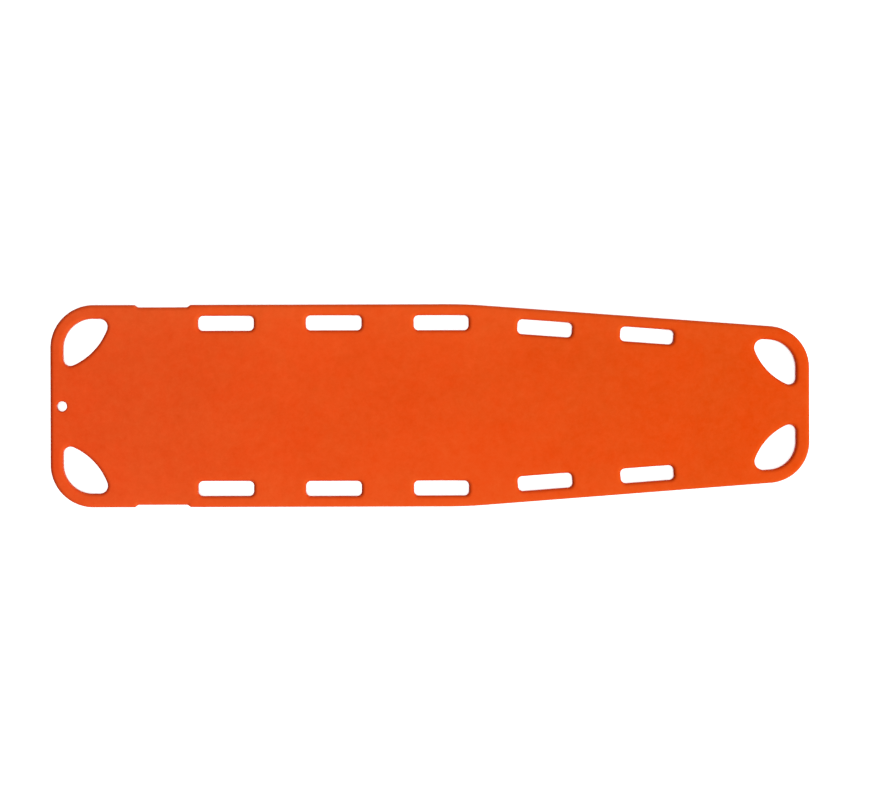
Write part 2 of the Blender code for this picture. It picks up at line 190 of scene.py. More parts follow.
def grip_outline(at_head, rim_steps, tip_steps, back_steps):
    end = LENGTH / 2
    out = Vector((-1.0 if at_head else 1.0, 0.0))
    slope = 0.0 if at_head else side_slope()
    corner_r = HEAD_CORNER_R if at_head else FOOT_CORNER_R
    side_rim, end_rim, past, inside, big_r, side_tip, end_tip = HEAD_GRIP if at_head else FOOT_GRIP
    corner = out * end + Vector((0, half_width(-end if at_head else end)))
    side_dir = Vector((-out.x * math.cos(slope), math.sin(slope)))
    side_in = Vector((-math.sin(slope), -math.cos(slope)))
    end_dir, end_in = Vector((0, -1)), -out
    arc_centre = corner + out * past + Vector((0, -inside))
    side_c, side_on, side_arc = fillet_on_arc(
        arc_centre, big_r, corner + side_in * side_rim, side_dir, side_in, side_tip
    )
    end_c, end_on, end_arc = fillet_on_arc(
        arc_centre, big_r, corner + end_in * end_rim, end_dir, end_in, end_tip
    )
    rim_r = corner_r - (side_rim + end_rim) / 2
    cx = end - end_rim - rim_r
    cy = half_width(out.x * cx) - (side_rim + rim_r) / math.cos(slope)
    centre = Vector((out.x * cx, cy))
    turn = 1 if at_head else -1
    points = turned_arc(centre, rim_r, centre - side_in * rim_r, centre - end_in * rim_r, rim_steps, turn)
    points += turned_arc(end_c, end_tip, end_on, end_arc, tip_steps, turn)
    points += turned_arc(arc_centre, big_r, end_arc, side_arc, back_steps, turn)[1:-1]
    points += turned_arc(side_c, side_tip, side_arc, side_on, tip_steps, turn)
    return points if at_head else list(reversed(points))


def openings(slot_steps, rim_steps, tip_steps, back_steps):
    made = []
    for slot in slots():
        made += [slot_outline(slot, flip, slot_steps) for flip in (False, True)]
    for at_head in (True, False):
        points = grip_outline(at_head, rim_steps, tip_steps, back_steps)
        made += [points, mirror(points)]
    return made


def runner_outline(inset, steps):
    slope = side_slope()
    w = RUNNER_W / 2 - inset
    y0 = HALF_WIDTH - RUNNER_FROM_EDGE
    bend = Vector((TAPER_X - RUNNER_FROM_EDGE * math.tan(slope / 2), y0))
    d = Vector((math.cos(slope), -math.sin(slope)))
    foot = bend + d * ((RUNNER_X1 - RUNNER_W / 2 - bend.x) / d.x)
    head = Vector((RUNNER_X0 + RUNNER_W / 2, y0))
    deg = math.degrees(slope)
    points = arc(head.x, head.y, w, 90, 270, steps)
    half = slope / 2
    middle = Vector((math.sin(half), math.cos(half))) * (w / math.cos(half))
    points.append(tuple(bend - middle))
    points += arc(foot.x, foot.y, w, -90 - deg, 90 - deg, steps)
    points.append(tuple(bend + middle))
    return points


def sole_height(x):
    """Height of a runner's sole: the strap channel is cut into it."""
    def rise(t):
        t = min(1.0, max(0.0, t))
        return t * t * (3 - 2 * t)

    reach = STRAP_SLOPE + 3.0
    return STRAP_CHANNEL * rise((x - RECESS_X0 + 1.5) / reach) * rise((RECESS_X1 + 1.5 - x) / reach)


# ---------------------------------------------------------------- outline tools
def refine(points, step):
    """Splits the long edges. step is a length, or a function of x that gives one."""
    made = []
    for i, point in enumerate(points):
        a, b = Vector(point), Vector(points[(i + 1) % len(points)])
        most = step((a.x + b.x) / 2) if callable(step) else step
        parts = max(1, math.ceil((b - a).length / most - 1e-6))
        if callable(step) and parts > 1:
            # a long edge can cross from a fine zone into a coarse one
            fine = max(2, math.ceil((b - a).length))
            travelled = 0.0
            made.append(tuple(a))
            last = 0.0
            for j in range(1, fine):
                here = a.lerp(b, j / fine)
                travelled = (b - a).length * j / fine
                if travelled - last >= step(here.x) and (b - a).length - travelled > 0.5 * step(here.x):
                    made.append(tuple(here))
                    last = travelled
        else:
            made += [tuple(a.lerp(b, j / parts)) for j in range(parts)]
    return made


def mitres(points):
    """Outward mitre vector at each point of a closed outline."""
    p = np.array(points, float)
    d = np.roll(p, -1, 0) - p
    d /= np.linalg.norm(d, axis=1)[:, None]
    n = np.stack([d[:, 1], -d[:, 0]], 1)
    before = np.roll(n, 1, 0)
    return (before + n) / (1 + (before * n).sum(1))[:, None]


def eased(points, vectors, x0, x1, spread):
    """Mitres averaged along the outline between x0 and x1, so that a tight S doesn't fold when it is set in."""
    p = np.array(points, float)
    gaps = np.linalg.norm(np.roll(p, -1, 0) - p, axis=1)
    along = np.concatenate([[0], np.cumsum(gaps)[:-1]])
    total = gaps.sum()
    weight = (gaps + np.roll(gaps, 1)) / 2
    made = vectors.copy()
    for i in np.nonzero((p[:, 0] > x0) & (p[:, 0] < x1))[0]:
        away = np.abs(along - along[i])
        away = np.minimum(away, total - away)
        w = np.exp(-0.5 * (away / spread) ** 2) * weight
        v = (vectors * w[:, None]).sum(0)
        made[i] = v / np.linalg.norm(v)
    return made


def grown(points, by):
    return [tuple(p) for p in np.array(points, float) + mitres(points) * by]


def odd_crossings(xy, starts, ends):
    """Whether each point lies inside the set of closed outlines whose edges are given."""
    inside = np.zeros(len(xy), bool)
    for lo in range(0, len(xy), 2000):
        x, y = xy[lo : lo + 2000, 0:1], xy[lo : lo + 2000, 1:2]
        x0, y0, x1, y1 = starts[:, 0], starts[:, 1], ends[:, 0], ends[:, 1]
        crosses = (y0 > y) != (y1 > y)
        with np.errstate(divide="ignore", invalid="ignore"):
            at = x0 + (y - y0) * (x1 - x0) / (y1 - y0)
        inside[lo : lo + 2000] = (crosses & (x < at)).sum(1) % 2 == 1
    return inside


def edge_distance(xy, starts, ends):
    made = np.full(len(xy), 1e9)
    d = ends - starts
    length2 = (d * d).sum(1)
    for lo in range(0, len(xy), 2000):
        part = xy[lo : lo + 2000]
        rel = part[:, None, :] - starts[None, :, :]
        t = np.clip((rel * d).sum(2) / length2, 0, 1)
        gap = rel - t[:, :, None] * d
        made[lo : lo + 2000] = np.sqrt((gap * gap).sum(2).min(1))
    return made


# ---------------------------------------------------------------- a closed skin built from rings and fills
class Skin:
    """Vertices in millimetres and faces that point out of the material."""

    def __init__(self):
        self.verts = []
        self.faces = []

    def ring(self, xy, z):
        first = len(self.verts)
        z = np.broadcast_to(np.asarray(z, float), len(xy))
        self.verts += [(float(x), float(y), float(h)) for (x, y), h in zip(xy, z)]
        return list(range(first, len(self.verts)))

    def band(self, upper, lower, outer):
        n = len(upper)
        for i in range(n):
            j = (i + 1) % n
            quad = (upper[i], lower[i], lower[j], upper[j])
            self.faces.append(quad if outer else quad[::-1])

    def wall(self, points, vectors, profile, outer, height=None):
        """Rings down a wall. profile is (how far the wall is set into the material, height). Gives first and last."""
        p = np.array(points, float)
        sign = -1 if outer else 1
        made = []
        for inset, z in profile:
            xy = p + vectors * (sign * inset)
            made.append(self.ring(xy, z if height is None else [height(x, z) for x in xy[:, 0]]))
        for upper, lower in zip(made, made[1:]):
            self.band(upper, lower, outer)
        return made[0], made[-1]

    def fill(self, loops, step, up, height, clear=0.55):
        """Triangles between the loops, with a staggered grid of points inside."""
        corners = [i for loop in loops for i in loop]
        xy = np.array([self.verts[i][:2] for i in corners])
        edges, first = [], 0
        for loop in loops:
            n = len(loop)
            edges += [(first + i, first + (i + 1) % n) for i in range(n)]
            first += n
        starts, ends = xy[[a for a, _ in edges]], xy[[b for _, b in edges]]
        low, high = xy.min(0), xy.max(0)
        grid = []
        rows = int((high[1] - low[1]) / (step * math.sqrt(0.75)))
        for r in range(1, rows + 1):
            y = low[1] + (high[1] - low[1]) * r / (rows + 1)
            shift = step / 2 if r % 2 else 0.0
            grid += [(x, y) for x in np.arange(low[0] + step / 2 + shift, high[0], step)]
        grid = np.array(grid)
        grid = grid[odd_crossings(grid, starts, ends)]
        away = edge_distance(grid, starts, ends)
        grid, away = grid[away > clear * step], away[away > clear * step]
        every = [Vector(p) for p in xy] + [Vector(p) for p in grid]
        co, _, tris, origin, _, _ = delaunay_2d_cdt(every, edges, [], 0, 1e-5)
        name, place = {}, {}
        for k, source in enumerate(origin):
            if not source:
                raise ValueError("the fill crosses itself")
            for s in source:
                place[s] = k
            s = min(source)
            if s < len(corners):
                name[k] = corners[s]
            else:
                x, y = grid[s - len(corners)]
                name[k] = len(self.verts)
                self.verts.append((float(x), float(y), height(x, y, away[s - len(corners)])))
        # A triangle is inside if an odd number of outlines lies between it and the hull. That also holds for slivers
        # along a straight outline.
        barrier = {frozenset((place[a], place[b])) for a, b in edges}
        beside = {}
        for t, tri in enumerate(tris):
            for i in range(3):
                beside.setdefault(frozenset((tri[i], tri[(i + 1) % 3])), []).append(t)
        depth, queue = {}, []
        for side, owners in beside.items():
            if len(owners) == 1 and owners[0] not in depth:
                depth[owners[0]] = side in barrier
                queue.append(owners[0])
        for t in queue:
            tri = tris[t]
            for i in range(3):
                side = frozenset((tri[i], tri[(i + 1) % 3]))
                for other in beside[side]:
                    if other not in depth:
                        depth[other] = depth[t] != (side in barrier)
                        queue.append(other)
        flat = np.array(co)
        total = 0.0
        for a, b, c in tris:
            ab, ac = flat[b] - flat[a], flat[c] - flat[a]
            total += ab[0] * ac[1] - ab[1] * ac[0]
        for t, tri in enumerate(tris):
            if depth[t]:
                tri = [name[v] for v in tri]
                self.faces.append(tri if (total > 0) == up else tri[::-1])

    def mesh(self, name):
        mesh = bpy.data.meshes.new(name)
        mesh.from_pydata([(x * MM, y * MM, z * MM) for x, y, z in self.verts], [], self.faces)
        mesh.update()
        return mesh


def rounded_profile(r, steps):
    """Top to bottom: a rounding, a wall that leans by the draft, the parting ridge, and the same mirrored."""
    lean = DRAFT + PARTING_RIDGE
    arc_r = r - lean
    half = []
    for i in range(steps + 1):
        a = math.radians(90 - 90 * i / steps)
        half.append((r - arc_r * math.cos(a), Z_TOP - arc_r + arc_r * math.sin(a)))
    half += [(PARTING_RIDGE + 0.03, Z_PARTING + 0.45), (0.0, Z_PARTING + 0.18)]
    return half + [(o, 2 * Z_PARTING - z) for o, z in reversed(half)]


def uneven(x, y, away, seed):
    """How far a flat face sinks at a point, in millimetres. Its edges stay true."""
    slow = noise.noise(Vector((x / 170.0, y / 120.0, seed)))
    quick = noise.noise(Vector((x / 46.0, y / 46.0, seed + 7.3)))
    hold = min(1.0, max(0.0, (away - 4.0) / 26.0))
    return DECK_SINK * hold * min(1.0, max(0.0, 0.5 + 0.55 * slow + 0.16 * quick))


# ---------------------------------------------------------------- objects and materials
def keep(name, mesh, material, slot, *nodes):
    made = bpy.data.objects.new(name, mesh)
    bpy.context.scene.collection.objects.link(made)
    made.data.materials.append(material)
    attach(made, "root")
    if nodes:
        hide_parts(*nodes)
    return made


def soften(mesh, degrees=40):
    mesh.shade_smooth()
    mesh.set_sharp_from_angle(angle=math.radians(degrees))


def tidy(mesh):
    """Splits the many-sided faces that a cut leaves, and removes its slivers."""
    bm = bmesh.new()
    bm.from_mesh(mesh)
    bmesh.ops.triangulate(bm, faces=[face for face in bm.faces if len(face.verts) > 4])
    bmesh.ops.dissolve_degenerate(bm, dist=2e-6, edges=bm.edges)
    bm.to_mesh(mesh)
    bm.free()


def turned_mesh(name, profile, sides):
    """A turned solid. The profile is (radius, height), from the top of its axis down its outer side to its foot."""
    bm = bmesh.new()
    rows = []
    for r, z in profile:
        if r < 1e-9:
            rows.append([bm.verts.new((0, 0, z * MM))])
        else:
            rows.append(
                [
                    bm.verts.new((r * math.cos(a) * MM, r * math.sin(a) * MM, z * MM))
                    for a in (math.tau * i / sides for i in range(sides))
                ]
            )
    for upper, lower in zip(rows, rows[1:]):
        for i in range(sides):
            j = (i + 1) % sides
            ring = [upper[i % len(upper)], lower[i % len(lower)], lower[j % len(lower)], upper[j % len(upper)]]
            unique = []
            for v in ring:
                if v not in unique:
                    unique.append(v)
            if len(unique) > 2:
                bm.faces.new(unique)
    bmesh.ops.recalc_face_normals(bm, faces=bm.faces)
    mesh = bpy.data.meshes.new(name)
    bm.to_mesh(mesh)
    bm.free()
    soften(mesh, 50)
    return mesh


class Nodes:
    """A small helper for a procedural material on one Principled shader."""

    def __init__(self, name):
        self.material = bpy.data.materials.new(name)
        self.material.use_nodes = True
        self.tree = self.material.node_tree
        self.shader = self.tree.nodes["Principled BSDF"]
        self.where = self.tree.nodes.new("ShaderNodeTexCoord").outputs["Object"]

    def link(self, source, target):
        if isinstance(source, (int, float)):
            target.default_value = source
        elif isinstance(source, tuple):
            target.default_value = source
        else:
            self.tree.links.new(source, target)

    def stretched(self, scale):
        node = self.tree.nodes.new("ShaderNodeMapping")
        self.link(self.where, node.inputs["Vector"])
        node.inputs["Scale"].default_value = scale
        return node.outputs["Vector"]

    def shifted(self, by):
        node = self.tree.nodes.new("ShaderNodeMapping")
        self.link(self.where, node.inputs["Vector"])
        node.inputs["Location"].default_value = by
        return node.outputs["Vector"]

    def noise(self, scale, detail=2.0, roughness=0.5, distortion=0.0, where=None):
        node = self.tree.nodes.new("ShaderNodeTexNoise")
        self.link(where or self.where, node.inputs["Vector"])
        node.inputs["Scale"].default_value = scale
        node.inputs["Detail"].default_value = detail
        node.inputs["Roughness"].default_value = roughness
        node.inputs["Distortion"].default_value = distortion
        return node.outputs[0]

    def cells(self, scale, feature="F1", where=None, randomness=1.0):
        node = self.tree.nodes.new("ShaderNodeTexVoronoi")
        node.feature = feature
        self.link(where or self.where, node.inputs["Vector"])
        node.inputs["Scale"].default_value = scale
        node.inputs["Randomness"].default_value = randomness
        return node.outputs["Distance"]

    def math(self, kind, a, b=0.0, c=0.0, clamp=False):
        node = self.tree.nodes.new("ShaderNodeMath")
        node.operation = kind
        node.use_clamp = clamp
        for value, socket in zip((a, b, c), node.inputs):
            self.link(value, socket)
        return node.outputs[0]

    def spread(self, value, low, high, to_low=0.0, to_high=1.0, smooth=False):
        node = self.tree.nodes.new("ShaderNodeMapRange")
        if smooth:
            node.interpolation_type = "SMOOTHSTEP"
        self.link(value, node.inputs["Value"])
        for name, number in (("From Min", low), ("From Max", high), ("To Min", to_low), ("To Max", to_high)):
            node.inputs[name].default_value = number
        return node.outputs["Result"]

    def blend(self, factor, a, b):
        node = self.tree.nodes.new("ShaderNodeMix")
        node.data_type = "RGBA"
        self.link(factor, node.inputs["Factor"])
        colours = [s for s in node.inputs if s.type == "RGBA"]
        self.link(a, colours[0])
        self.link(b, colours[1])
        return [s for s in node.outputs if s.type == "RGBA"][0]

    def place(self):
        node = self.tree.nodes.new("ShaderNodeSeparateXYZ")
        self.link(self.where, node.inputs[0])
        return node.outputs["X"], node.outputs["Y"], node.outputs["Z"]

    def mixed(self, channels):
        node = self.tree.nodes.new("ShaderNodeCombineColor")
        for value, socket in zip(channels, node.inputs):
            self.link(value, socket)
        return node.outputs[0]

    def attribute(self, name):
        node = self.tree.nodes.new("ShaderNodeAttribute")
        node.attribute_name = name
        return node.outputs["Fac"]

    def bump(self, value, distance, strength=1.0, over=None):
        node = self.tree.nodes.new("ShaderNodeBump")
        node.inputs["Distance"].default_value = distance
        node.inputs["Strength"].default_value = strength
        self.link(value, node.inputs["Height"])
        if over is not None:
            self.link(over, node.inputs["Normal"])
        return node.outputs["Normal"]

    def set(self, **sockets):
        for name, value in sockets.items():
            self.link(value, self.shader.inputs[name.replace("_", " ")])
        return self.material


def times(colour, k):
    return tuple(min(1.0, c * k) for c in colour[:3]) + (1.0,)


def polyethylene(name, base, wear, soles):
    """Moulded polyethylene: cloudy pigment, an orange-peel skin, fine specks, paler rails and rims, painted shade at
    the head end and painted light on the -Y side.
    """
    n = Nodes(name)
    along, across, height = n.place()
    # one cloud in how red the pigment is and another in how yellow, from a forearm's length down to a fingertip, and a
    # fine grain in all of it
    red = n.noise(2.8, 5.0, 0.92)
    yellow = n.noise(2.8, 5.0, 0.92, 0.0, n.shifted((4.1, 2.7, 1.3)))
    grain = n.noise(46.0, 3.0, 0.95, 0.0, n.shifted((0.7, 1.9, 3.3)))
    # the blue rises towards the head end, the foot half is a touch less red past its middle and redder again at its
    # tip, and the rails between the slots and the long edges are paler
    headward_blue = n.spread(along, 0.70, -0.80)
    # painted shade: the head end is darker in red and green, where less light falls
    dim = n.spread(along, -0.25, -0.78, smooth=True)
    rail = n.spread(n.math("ABSOLUTE", across), 0.12, 0.24)
    # painted light: the -Y side is redder and brighter, where more light falls
    painted_light_side = n.spread(across, 0.02, -0.24)
    deeper = n.spread(along, 0.12, 0.42, smooth=True)
    tip = n.spread(along, 0.70, 0.82, smooth=True)

    def channel(start, *parts):
        made = start - sum(k * middle for k, middle, _ in parts)
        for k, _, signal in parts:
            made = n.math("MULTIPLY_ADD", signal, k, made)
        return n.math("MAXIMUM", made, 0.04 * start)

    r, g, b = base[:3]
    tint = (
        channel(
            r,
            (0.240 * r, 0.5, red),
            (0.130 * r, 0.5, grain),
            (-0.057 * r, 0.0, dim),
            (0.040 * r, 0.0, painted_light_side),
            (-0.026 * r, 0.0, deeper),
            (0.030 * r, 0.0, tip),
        ),
        channel(g, (0.560 * g, 0.5, yellow), (0.480 * g, 0.5, grain), (0.150 * g, 0.0, rail), (-0.055 * g, 0.0, dim)),
        channel(b, (1.300 * b, 0.5, yellow), (1.500 * b, 0.5, grain), (0.420 * b, 0.0, rail), (0.620 * b, 0.5, headward_blue)),
    )
    colour = n.mixed(tint)
    # specks of pigment
    speck = n.spread(n.cells(430.0), 0.085, 0.045)
    rare = n.spread(n.noise(90.0, 1.0), 0.52, 0.60)
    colour = n.blend(n.math("MULTIPLY", n.math("MULTIPLY", speck, rare), 0.30), colour, times(base, 0.72))
    # rubbed rims turn a little paler and duller
    scratch = n.noise(34.0, 4.0, 0.7, 0.6, n.stretched((0.35, 1.0, 1.0)))
    rub = n.math("MULTIPLY", n.spread(n.attribute("rim"), 0.45, 1.0), n.spread(scratch, 0.50, 0.70))
    rub = n.math("MULTIPLY", rub, wear, clamp=True)
    pale = (min(1.0, r * 1.04), g + 0.028, b + 0.012, 1.0)
    colour = n.blend(rub, colour, pale)
    rough = n.math("MULTIPLY_ADD", n.math("SUBTRACT", n.noise(26.0, 4.0, 0.6), 0.5), 0.20, 0.50)
    rough = n.math("MULTIPLY_ADD", rub, 0.10, rough)
    if soles:
        # the soles are dragged over the ground: long scratches and a dull, slightly dirty face
        low = n.spread(height, 0.0045, 0.0006)
        drag = n.noise(60.0, 5.0, 0.75, 0.3, n.stretched((0.05, 1.6, 1.0)))
        dirt = n.math("MULTIPLY", low, n.spread(drag, 0.40, 0.62))
        colour = n.blend(n.math("MULTIPLY", dirt, 0.55), colour, (r * 0.52, g + 0.03, b + 0.02, 1.0))
        rough = n.math("MULTIPLY_ADD", low, 0.20, rough)
    peel = n.noise(640.0, 2.0, 0.5)
    wide = n.noise(190.0, 2.0, 0.5)
    normal = n.bump(peel, 0.00006)
    normal = n.bump(wide, 0.00016, 1.0, normal)
    if soles:
        cut = n.math("MULTIPLY", low, n.noise(240.0, 3.0, 0.8, 0.0, n.stretched((0.03, 1.4, 1.0))))
        normal = n.bump(cut, 0.00035, 1.0, normal)
    # the pigment lies right under the skin, so a reflection seen head-on takes its colour, and one at a glance is white
    n.shader.inputs["Specular IOR Level"].default_value = 0.12
    n.shader.inputs["Specular Tint"].default_value = (1.0, 0.25, 0.06, 1.0)
    return n.set(Base_Color=colour, Roughness=rough, Normal=normal)


def black_cap():
    n = Nodes("black_cap")
    tone = n.noise(240.0, 3.0, 0.6)
    colour = n.blend(tone, (0.006, 0.006, 0.007, 1.0), (0.016, 0.016, 0.018, 1.0))
    dust = n.spread(n.noise(900.0, 2.0, 0.6), 0.60, 0.74)
    colour = n.blend(n.math("MULTIPLY", dust, 0.25), colour, (0.075, 0.072, 0.068, 1.0))
    rough = n.spread(n.noise(380.0, 3.0, 0.6), 0.3, 0.7, 0.36, 0.52)
    normal = n.bump(n.noise(1900.0, 2.0, 0.5), 0.00003)
    n.shader.inputs["Specular IOR Level"].default_value = 0.25
    return n.set(Base_Color=colour, Roughness=rough, Normal=normal)


def foam():
    """Poured polyurethane foam: closed cells under a thin skin that took the print of the shell."""
    n = Nodes("poured_foam")
    tone = n.noise(11.0, 4.0, 0.6)
    colour = n.blend(tone, (0.66, 0.50, 0.24, 1.0), (0.88, 0.76, 0.48, 1.0))
    cell = n.spread(n.cells(900.0), 0.0, 0.75)
    colour = n.blend(n.math("MULTIPLY", n.spread(cell, 0.45, 0.0), 0.45), colour, (0.46, 0.32, 0.13, 1.0))
    blister = n.spread(n.cells(120.0), 0.0, 0.6)
    normal = n.bump(cell, 0.00022)
    normal = n.bump(blister, 0.0004, 0.8, normal)
    rough = n.spread(n.noise(160.0, 3.0), 0.3, 0.7, 0.78, 0.95)
    n.shader.inputs["Specular IOR Level"].default_value = 0.25
    return n.set(Base_Color=colour, Roughness=rough, Normal=normal)


def fibreglass():
    """Pultruded glass and polyester: rovings that run along the tube under a clear resin skin."""
    n = Nodes("pultruded_glass")
    roving = n.noise(1400.0, 4.0, 0.65, 0.0, n.stretched((0.012, 1.0, 1.0)))
    colour = n.blend(roving, (0.30, 0.30, 0.14, 1.0), (0.66, 0.66, 0.42, 1.0))
    milky = n.noise(38.0, 3.0, 0.6, 0.0, n.stretched((0.2, 1.0, 1.0)))
    colour = n.blend(n.spread(milky, 0.45, 0.70, 0.0, 0.4), colour, (0.74, 0.74, 0.60, 1.0))
    rough = n.spread(roving, 0.25, 0.75, 0.26, 0.44)
    normal = n.bump(roving, 0.00006)
    return n.set(Base_Color=colour, Roughness=rough, Normal=normal)


# ---------------------------------------------------------------- the moulded shell
def outer_skin(skin):
    outline = refine(board_outline(36, 14, 8), 12.0)
    sides = eased(outline, mitres(outline), RECESS_X0 - 45, RECESS_X1 + 45, 5.5)
    profile = rounded_profile(EDGE_R, 9)
    tops, bottoms = [], []
    top, bottom = skin.wall(outline, sides, profile, True)
    tops.append(top)
    bottoms.append(bottom)
    for hole in openings(10, 22, 12, 22):
        hole = refine(hole, 12.0)
        top, bottom = skin.wall(hole, mitres(hole), profile, False)
        tops.append(top)
        bottoms.append(bottom)
    ring = arc(HANG_X, 0, HANG_R, 0, 360, 56)[:-1]
    top, bottom = skin.wall(ring, mitres(ring), rounded_profile(HANG_EDGE_R, 6), False)
    tops.append(top)
    bottoms.append(bottom)
    skin.fill(tops, DECK_STEP, True, lambda x, y, away: Z_TOP - uneven(x, y, away, 1.7))

    # runners, with a fillet where they leave the deck
    lean = 0.3
    lower = []
    for i in range(5):
        a = math.radians(90 * i / 4)
        lower.append((-RUNNER_FILLET + RUNNER_FILLET * math.sin(a), Z_UNDER - RUNNER_FILLET + RUNNER_FILLET * math.cos(a)))
    arc_r = RUNNER_EDGE_R - lean
    for i in range(7):
        a = math.radians(90 * i / 6)
        lower.append((RUNNER_EDGE_R - arc_r * math.cos(a), arc_r - arc_r * math.sin(a)))

    def with_channel(x, z):
        return Z_UNDER - (Z_UNDER - z) * (Z_UNDER - sole_height(x)) / Z_UNDER

    for flip in (False, True):
        plan = refine(runner_outline(0.0, 20), lambda x: 3.0 if RECESS_X0 - 12 < x < RECESS_X1 + 12 else 15.0)
        plan = mirror(plan) if flip else plan
        base, sole = skin.wall(plan, mitres(plan), lower, True, with_channel)
        bottoms.append(base)
        skin.fill([sole], 6.0, False, lambda x, y, away: sole_height(x))
    skin.fill(bottoms, DECK_STEP, False, lambda x, y, away: Z_UNDER + uneven(x, y, away, 4.1))


def inner_skin(skin):
    """The hollow that the foam fills, down into the runners, with its faces towards the foam."""
    reach = LENGTH / 2 - END_WALL
    inner = [(max(-reach, min(reach, x)), y) for x, y in grown(board_outline(8, 4, 1), -WALL)]
    tidy = []
    for p in inner:
        if not tidy or (Vector(p) - Vector(tidy[-1])).length > 0.5:
            tidy.append(p)
    # round the solid land of the hanging hole
    land = HANG_R + WALL
    half = len(tidy) // 2
    tidy = tidy[:half] + [(-reach, land)] + list(reversed(arc(HANG_X, 0, land, -90, 90, 10))) + [(-reach, -land)] + tidy[half:]
    low, high = Z_UNDER + WALL, Z_TOP - WALL
    profile = [(CORE_CHAMFER, high), (0.0, high - CORE_CHAMFER), (0.0, low + CORE_CHAMFER), (CORE_CHAMFER, low)]
    tops, bottoms = [], []
    first = len(skin.faces)
    top, bottom = skin.wall(tidy, mitres(tidy), profile, True)
    tops.append(top)
    bottoms.append(bottom)
    for hole in openings(2, 4, 3, 5):
        hole = grown(hole, WALL)
        top, bottom = skin.wall(hole, mitres(hole), profile, False)
        tops.append(top)
        bottoms.append(bottom)
    skin.fill(tops, 60.0, True, lambda x, y, away: high)

    def with_channel(x, z):
        return low - (low - z) * (low - WALL - sole_height(x)) / (low - WALL)

    for flip in (False, True):
        plan = refine(runner_outline(WALL, 8), lambda x: 6.0 if RECESS_X0 - 12 < x < RECESS_X1 + 12 else 60.0)
        plan = mirror(plan) if flip else plan
        base, sole = skin.wall(plan, mitres(plan), [(0.0, low), (0.0, WALL + 3.0), (3.0, WALL)], True, with_channel)
        bottoms.append(base)
        skin.fill([sole], 9.0, False, lambda x, y, away: WALL + sole_height(x))
    skin.fill(bottoms, 60.0, False, lambda x, y, away: low)
    skin.faces[first:] = [face[::-1] for face in skin.faces[first:]]


def stepped_cutter(parts):
    """Turned cutters, each (profile, matrix), in one mesh."""
    bm = bmesh.new()
    for profile, matrix in parts:
        mesh = turned_mesh("cutter", profile, 48)
        mesh.transform(matrix)
        bm.from_mesh(mesh)
        bpy.data.meshes.remove(mesh)
    mesh = bpy.data.meshes.new("cutters")
    bm.to_mesh(mesh)
    bm.free()
    return mesh


def board_shell():
    skin = Skin()
    outer_skin(skin)
    inner_skin(skin)
    mesh = skin.mesh("board_shell")
    body = bpy.data.objects.new("board_shell_raw", mesh)
    bpy.context.scene.collection.objects.link(body)

    # the tube ports with their seats, and the foam ports in the underside
    end = LENGTH / 2
    parts = []
    for y in (TUBE_Y, -TUBE_Y):
        for sign in (-1, 1):
            shape = [(0, 5), (SEAT_R, 5), (SEAT_R, -SEAT_DEPTH), (PORT_R, -SEAT_DEPTH), (PORT_R, -END_WALL - 3), (0, -END_WALL - 3)]
            turn = Matrix.Rotation(sign * math.pi / 2, 4, "Y")
            parts.append((shape, Matrix.Translation((sign * end * MM, y * MM, TUBE_Z * MM)) @ turn))
    for x, r in ((FILL_X, FILL_R), (-VENT_X, VENT_R), (VENT_X, VENT_R)):
        shape = [(0, WALL + 3), (r + GAP, WALL + 3), (r + GAP, -5), (0, -5)]
        parts.append((shape, Matrix.Translation((x * MM, 0, Z_UNDER * MM))))
    cutter = bpy.data.objects.new("cutters", stepped_cutter(parts))
    bpy.context.scene.collection.objects.link(cutter)
    cut = body.modifiers.new("ports", "BOOLEAN")
    cut.operation = "DIFFERENCE"
    cut.solver = "EXACT"
    cut.object = cutter
    bpy.context.view_layer.update()
    graph = bpy.context.evaluated_depsgraph_get()
    mesh = bpy.data.meshes.new_from_object(body.evaluated_get(graph))
    mesh.name = "board_shell"
    bpy.data.objects.remove(body)
    bpy.data.objects.remove(cutter)
    mesh.materials.clear()
    tidy(mesh)
    soften(mesh)
    # 1 on the roundings, 0 on flat faces and on straight walls
    normals = np.zeros(len(mesh.vertices) * 3, np.float32)
    mesh.vertices.foreach_get("normal", normals)
    up = np.abs(normals.reshape(-1, 3)[:, 2])
    rim = np.clip(1 - np.abs(up - 0.65) / 0.34, 0, 1)
    attribute = mesh.attributes.new("rim", "FLOAT", "POINT")
    attribute.data.foreach_set("value", rim.astype(np.float32))
    return mesh


# ---------------------------------------------------------------- small pieces
def tube_cap_profile():
    """Domed head with a dished middle, then a spigot with two ribs."""
    head_r, spigot_r = SEAT_R - GAP, TUBE_BORE_R - GAP
    profile = [(0, -0.75), (1.1, -0.72), (2.0, -0.55), (2.5, -0.22), (2.9, -0.02), (3.4, 0.0)]
    for i in range(1, 7):
        t = i / 6
        profile.append((3.4 + (head_r - 0.8 - 3.4) * t, -0.5 * t * t))
    profile += [(head_r - 0.35, -0.62), (head_r - 0.08, -0.88), (head_r, -1.2), (head_r, -2.05), (head_r - 0.15, -2.2)]
    core = spigot_r - 0.6
    profile += [(core + 0.35, -2.2), (core, -2.55), (core, -6.8)]
    for mid in (-8.5, -11.5):
        profile += [(core, mid + 1.4), (spigot_r - 0.12, mid + 0.25), (spigot_r, mid), (spigot_r - 0.12, mid - 0.2), (core, mid - 0.6)]
    profile += [(core, -13.0), (core - 0.55, -15.4), (core - 1.0, -16.6), (core - 1.35, -17.0), (0, -17.0)]
    return profile


